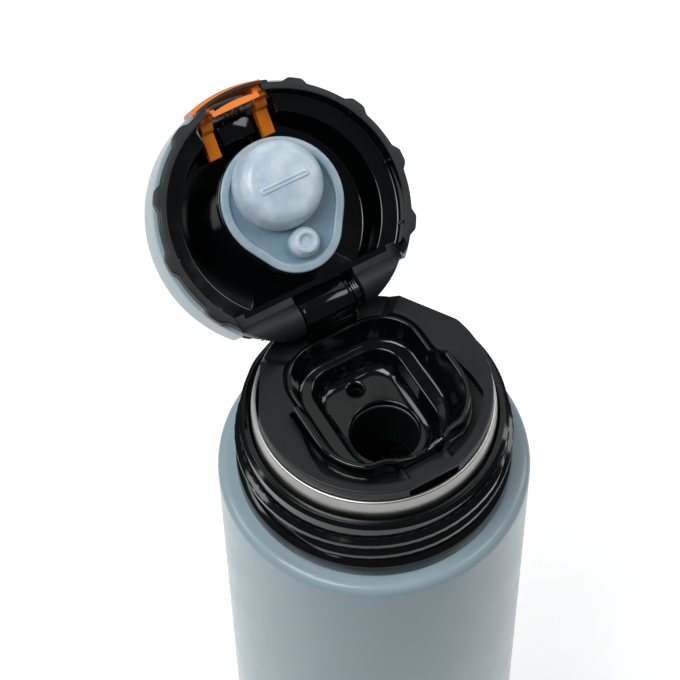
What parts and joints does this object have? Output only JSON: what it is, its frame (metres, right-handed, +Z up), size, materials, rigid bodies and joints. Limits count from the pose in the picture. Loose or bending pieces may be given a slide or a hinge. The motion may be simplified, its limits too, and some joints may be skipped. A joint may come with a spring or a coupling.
{
  "type": "water bottle",
  "caption": "Slim double-walled steel sports bottle with a screw-in drinking cap, a sprung lid thrown open and a rocking release button.",
  "frame": {"origin": "centre of the foot, on the surface that the bottle stands on", "axes": "+Z up along the bottle's axis, -Y to the front where the release button latches, lid hinge at +Y"},
  "size_m": [0.074, 0.1089, 0.2655],
  "materials": {
    "body_paint": "fine grained satin powder coat",
    "bare_steel": "brushed",
    "copper_foil": "bright rolled foil",
    "gloss_black": "polished",
    "matt_black": "fine eroded texture",
    "silicone": "milky, slightly translucent",
    "grey_seal": "smooth",
    "orange_button": "satin moulded",
    "white_foam": "fine cell",
    "seal_bead": "glassy"
  },
  "bodies": {
    "bottle": {"outer_shell": "body_paint", "neck_ring": "bare_steel", "inner_liner": "bare_steel", "base_plate": "bare_steel", "vacuum_plate": "bare_steel", "vacuum_seal": "seal_bead", "getter": "bare_steel", "heat_shield": "copper_foil", "neck_collar": "gloss_black"},
    "gasket": {"mouth_gasket": "grey_seal"},
    "cap": {"cap_plate": "matt_black", "drinking_bowl": "gloss_black", "cap_plug": "matt_black", "cap_insulation": "white_foam", "channel_seal": "grey_seal", "hinge_pin": "bare_steel", "hinge_spring": "bare_steel"},
    "lid": {"lid_liner": "gloss_black", "lid_shell": "body_paint", "seal_holder": "gloss_black", "lid_seal": "silicone", "button_pin": "bare_steel", "button_spring": "bare_steel"},
    "button": {"release_button": "orange_button"}
  },
  "joints": [
    {"name": "cap_lift", "type": "slide", "parent": "bottle", "child": "gasket", "axis": [0, 0, 1], "range_m": [0, 0.0051]},
    {"name": "cap_turn", "type": "hinge", "parent": "gasket", "child": "cap", "pos_m": [0, 0, 0.21], "axis": [0, 0, 1], "range_deg": [0, 360]},
    {"name": "lid_hinge", "type": "hinge", "parent": "cap", "child": "lid", "pos_m": [0, 0.02307, 0.23098], "axis": [1, 0, 0], "range_deg": [0, 148.5], "stiffness_Nm_per_rad": 0.02, "springref_deg": -17.19},
    {"name": "button_press", "type": "hinge", "parent": "lid", "child": "button", "pos_m": [0, 0.06445, 0.25661], "axis": [-1, 0, 0], "range_deg": [0, 8], "stiffness_Nm_per_rad": 0.05}
  ],
  "couplings": [
    {"joint": "cap_lift", "follows": "cap_turn", "m_per_rad": 0.00079577}
  ]
}
